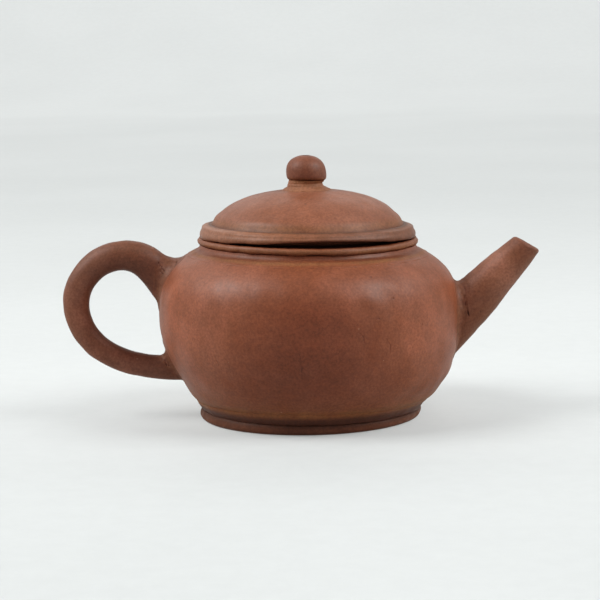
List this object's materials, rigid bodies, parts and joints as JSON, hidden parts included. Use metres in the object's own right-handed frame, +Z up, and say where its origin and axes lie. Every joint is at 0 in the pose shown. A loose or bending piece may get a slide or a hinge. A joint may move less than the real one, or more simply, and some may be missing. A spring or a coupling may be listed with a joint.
{
  "type": "teapot",
  "caption": "Small round teapot of unglazed red-brown stoneware with a straight spout, ring handle, foot ring and a loose domed lid with a ball knob.",
  "frame": {"origin": "centre of the foot ring's underside, on the surface the pot stands on", "axes": "+Z up along the axis of the turned body, +X towards the spout, -X towards the handle"},
  "size_m": [0.1188, 0.0748, 0.0653],
  "materials": {
    "clay_body": "satin, unglazed, rubbed smooth",
    "clay_foot": "matt, unglazed",
    "clay_groove": "matt, with pale brown patina",
    "clay_spout": "satin, unglazed",
    "clay_handle": "satin, worn by handling",
    "clay_joint": "matt, with tool marks",
    "clay_lid": "satin, unglazed",
    "clay_knob": "satin, worn by handling"
  },
  "bodies": {
    "pot": {"foot_ring": "clay_foot", "base_disc": "clay_foot", "body_wall": "clay_body", "shoulder_disc": "clay_body", "neck_band": "clay_groove", "mouth_ring": "clay_body", "spout": "clay_spout", "spout_fillet": "clay_joint", "handle": "clay_handle", "handle_upper_fillet": "clay_joint", "handle_lower_fillet": "clay_joint"},
    "lid": {"lid_rim": "clay_lid", "lid_dome": "clay_lid", "lid_flange": "clay_lid", "knob_stem": "clay_groove", "knob": "clay_knob"}
  },
  "joints": [
    {"name": "lid_lift", "type": "slide", "parent": "pot", "child": "lid", "axis": [0, 0, 1], "range_m": [0, 0.035]}
  ]
}
